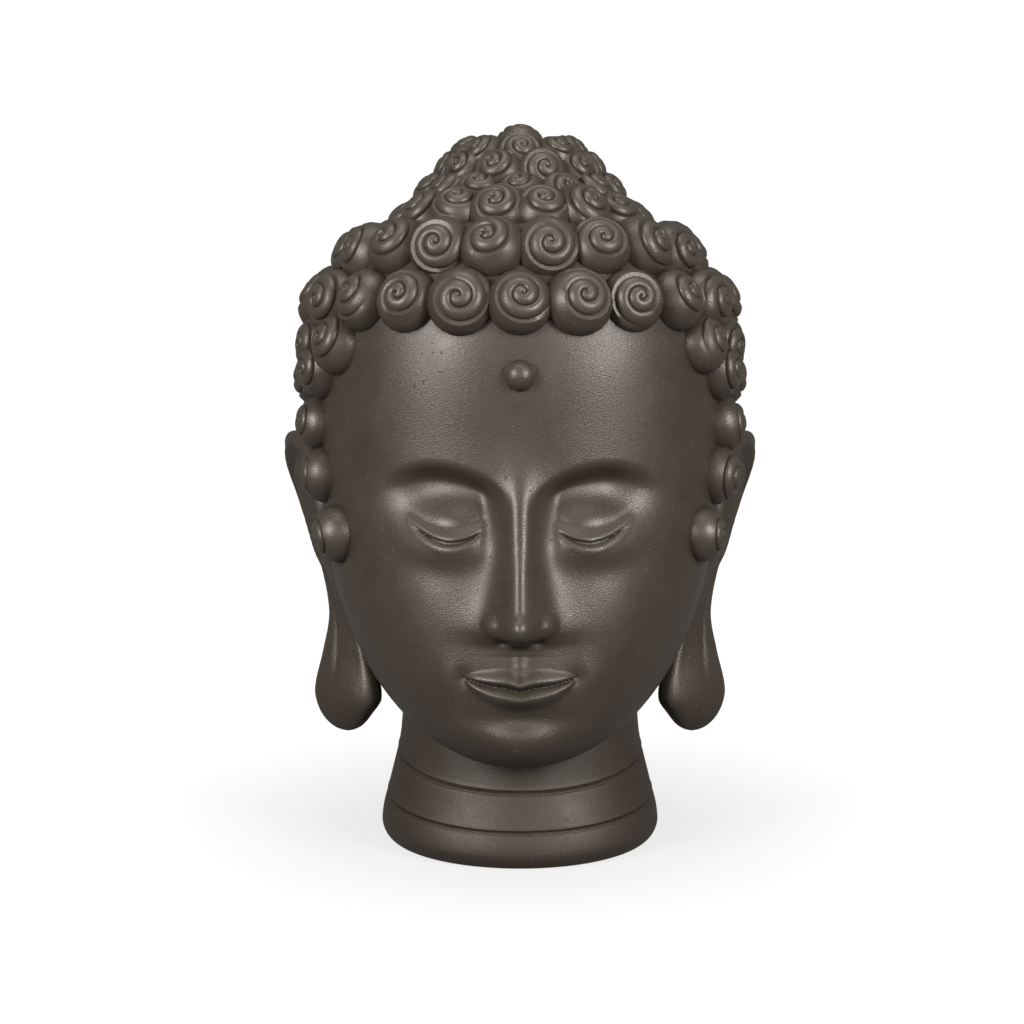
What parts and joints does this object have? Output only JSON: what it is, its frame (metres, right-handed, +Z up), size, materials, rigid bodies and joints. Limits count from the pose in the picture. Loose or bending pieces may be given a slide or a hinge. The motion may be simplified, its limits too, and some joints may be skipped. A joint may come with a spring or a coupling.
{
  "type": "buddha head statue",
  "caption": "Buddha head cast in resin: calm face with lowered lids, rows of spiral curls rising to a bun, long earlobes and a creased neck on a flat foot; stands on a shelf as an ornament.",
  "frame": {"origin": "centre of the flat underside of the neck", "axes": "+Z up, the face looks along -Y, +X to the right of someone who looks at the face"},
  "size_m": [0.2682, 0.2738, 0.3997],
  "materials": {
    "resin": "satin grey-brown cast resin with a fine hand-worked texture"
  },
  "bodies": {
    "root": {"buddha_head": "resin"}
  },
  "joints": []
}
